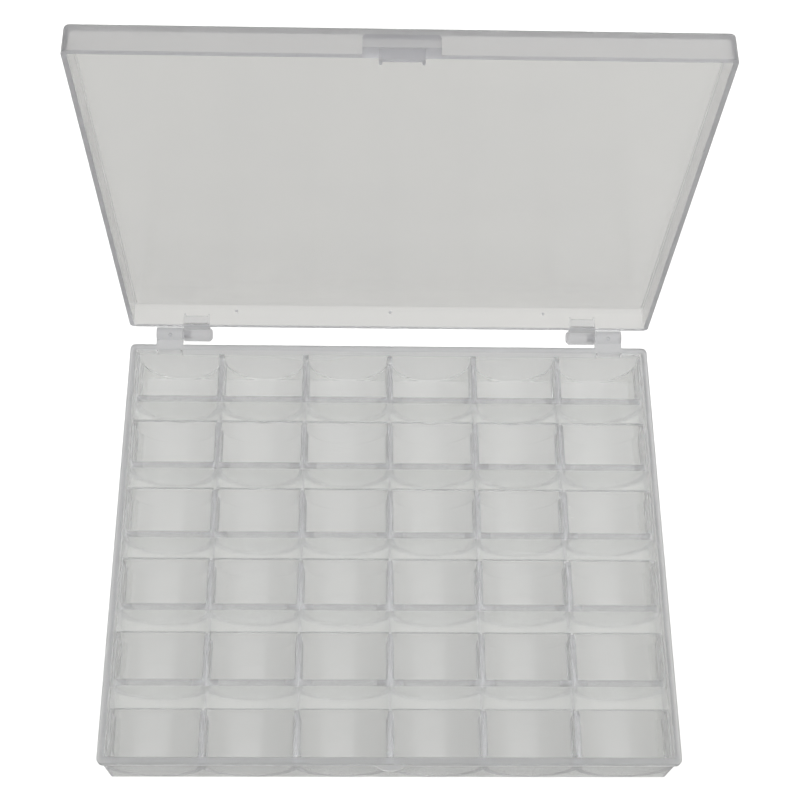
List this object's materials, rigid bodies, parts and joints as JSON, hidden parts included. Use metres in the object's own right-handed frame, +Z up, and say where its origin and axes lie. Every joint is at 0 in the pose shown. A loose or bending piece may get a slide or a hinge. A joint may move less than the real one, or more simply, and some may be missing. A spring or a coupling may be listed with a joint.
{
  "type": "bobbin storage box",
  "caption": "Clear plastic box with a hinged lid and snap latch; rows of round-bottomed cradles hold sewing-machine bobbins on edge.",
  "frame": {"origin": "middle of the base's underside, on the surface that the box stands on", "axes": "+X to the right, +Y to the hinges at the back, +Z up; the latch is at the front"},
  "size_m": [0.1466, 0.1324, 0.143],
  "materials": {
    "base_plastic": "clear polypropylene, slightly frosted",
    "lid_plastic": "clear polypropylene, slightly frosted"
  },
  "bodies": {
    "base": {"base_wall_frame": "base_plastic", "cradle_row_1": "base_plastic", "cradle_row_2": "base_plastic", "cradle_row_3": "base_plastic", "cradle_row_4": "base_plastic", "cradle_row_5": "base_plastic", "cradle_row_6": "base_plastic", "front_catch_ledge": "base_plastic", "left_base_knuckle": "base_plastic", "right_base_knuckle": "base_plastic", "left_hinge_pin": "base_plastic", "right_hinge_pin": "base_plastic"},
    "lid": {"lid_panel": "lid_plastic", "lid_wall_frame": "lid_plastic", "left_lid_knuckle": "lid_plastic", "right_lid_knuckle": "lid_plastic", "latch_boss": "lid_plastic"},
    "latch": {"latch_tongue": "lid_plastic"}
  },
  "joints": [
    {"name": "lid_hinge", "type": "hinge", "parent": "base", "child": "lid", "pos_m": [0, 0.0628, 0.0183], "axis": [1, 0, 0], "range_deg": [0, 90.3]},
    {"name": "latch_flex", "type": "hinge", "parent": "lid", "child": "latch", "pos_m": [0, 0.0639, 0.143], "axis": [-1, 0, 0], "range_deg": [0, 10], "stiffness_Nm_per_rad": 0.02}
  ]
}
